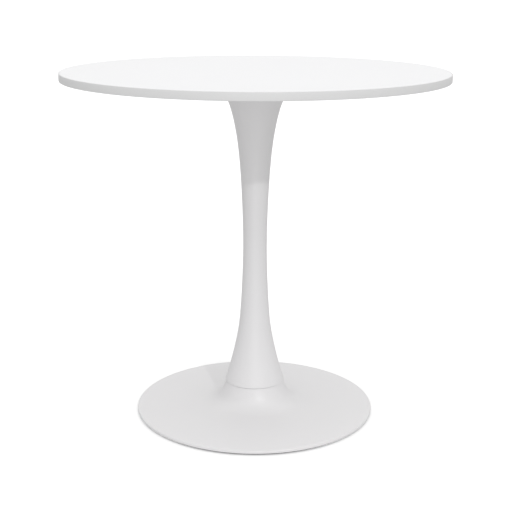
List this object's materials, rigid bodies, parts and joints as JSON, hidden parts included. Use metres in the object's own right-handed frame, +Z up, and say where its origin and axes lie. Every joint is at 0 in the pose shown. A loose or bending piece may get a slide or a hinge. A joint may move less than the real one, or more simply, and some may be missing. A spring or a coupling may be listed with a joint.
{
  "type": "pedestal table",
  "caption": "White round-topped pedestal table with a waisted trumpet column, a flared weighted base and levelling glides.",
  "frame": {"origin": "on the floor, at the centre of the base, under the column's axis", "axes": "+Z up along the column's axis, the table's axis of symmetry; -Y faces the front view; X and Y are otherwise free"},
  "size_m": [0.8, 0.8, 0.74],
  "materials": {
    "white_laminate": "satin white high-pressure laminate",
    "backing_sheet": "matt white balancing sheet",
    "white_edging": "satin white ABS edging",
    "white_powder_coat": "semi-gloss white powder coat on steel",
    "fibreboard": "raw medium-density fibreboard",
    "zinc_plated_steel": "bright zinc plating",
    "zinc_alloy": "die-cast zinc alloy",
    "cast_iron": "rough casting, black primer",
    "black_nylon": "moulded black nylon"
  },
  "bodies": {
    "table": {"top_core": "fibreboard", "top_laminate": "white_laminate", "underside_laminate": "backing_sheet", "edge_band": "white_edging", "mounting_plate": "white_powder_coat", "column": "white_powder_coat", "base_shell": "white_powder_coat", "head_locating_ring": "zinc_plated_steel", "foot_locating_ring": "zinc_plated_steel", "tie_rod": "zinc_plated_steel", "plate_nut": "zinc_plated_steel", "neck_washer": "zinc_plated_steel", "spring_washer": "zinc_plated_steel", "tie_nut": "zinc_plated_steel", "ballast_ring": "cast_iron", "top_insert_1": "zinc_alloy", "top_bolt_1": "zinc_plated_steel", "top_insert_2": "zinc_alloy", "top_bolt_2": "zinc_plated_steel", "top_insert_3": "zinc_alloy", "top_bolt_3": "zinc_plated_steel", "top_insert_4": "zinc_alloy", "top_bolt_4": "zinc_plated_steel", "top_insert_5": "zinc_alloy", "top_bolt_5": "zinc_plated_steel", "top_insert_6": "zinc_alloy", "top_bolt_6": "zinc_plated_steel"},
    "glide_1": {"glide_1_stud": "zinc_plated_steel", "glide_1_pad": "black_nylon"},
    "glide_2": {"glide_2_stud": "zinc_plated_steel", "glide_2_pad": "black_nylon"},
    "glide_3": {"glide_3_stud": "zinc_plated_steel", "glide_3_pad": "black_nylon"},
    "glide_4": {"glide_4_stud": "zinc_plated_steel", "glide_4_pad": "black_nylon"}
  },
  "joints": [
    {"name": "glide_1_screw_out", "type": "slide", "parent": "table", "child": "glide_1", "axis": [0, 0, -1], "range_m": [0, 0.004]},
    {"name": "glide_2_screw_out", "type": "slide", "parent": "table", "child": "glide_2", "axis": [0, 0, -1], "range_m": [0, 0.004]},
    {"name": "glide_3_screw_out", "type": "slide", "parent": "table", "child": "glide_3", "axis": [0, 0, -1], "range_m": [0, 0.004]},
    {"name": "glide_4_screw_out", "type": "slide", "parent": "table", "child": "glide_4", "axis": [0, 0, -1], "range_m": [0, 0.004]}
  ]
}
